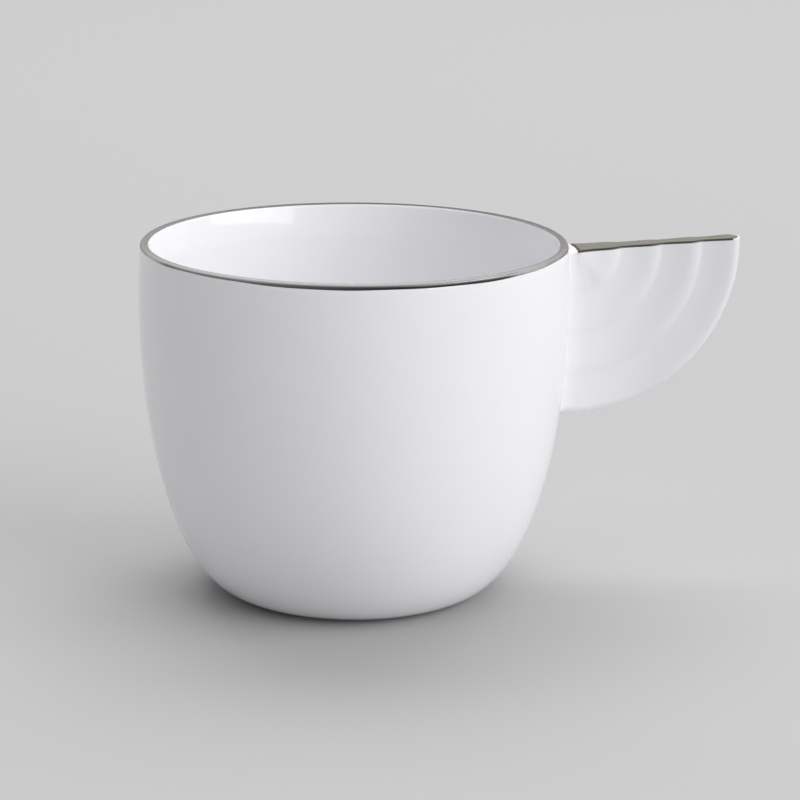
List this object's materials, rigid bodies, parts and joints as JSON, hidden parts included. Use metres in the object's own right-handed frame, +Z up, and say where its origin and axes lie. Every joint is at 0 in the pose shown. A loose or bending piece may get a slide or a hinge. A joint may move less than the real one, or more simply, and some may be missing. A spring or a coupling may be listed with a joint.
{
  "type": "teacup",
  "caption": "Footed teacup with a deep rounded bowl, a flat-topped quarter-disc wing handle with lapped rings, and metal lustre on the lip and handle.",
  "frame": {"origin": "centre of the foot ring's standing face, where the bowl's axis meets the table", "axes": "+Z up along the bowl's axis, +X towards the tip of the handle, which lies in the XZ plane"},
  "size_m": [0.1153, 0.081, 0.0674],
  "materials": {
    "glazed_china": "clear gloss glaze over white bone china",
    "bare_china": "bare fired china, dry and matt",
    "metal_lustre": "burnished platinum lustre, thin and slightly brushed by hand"
  },
  "bodies": {
    "root": {"cup_body": "glazed_china", "foot_ring": "bare_china", "handle": "glazed_china", "handle_joint": "glazed_china", "rim_band": "metal_lustre", "handle_band": "metal_lustre"}
  },
  "joints": []
}
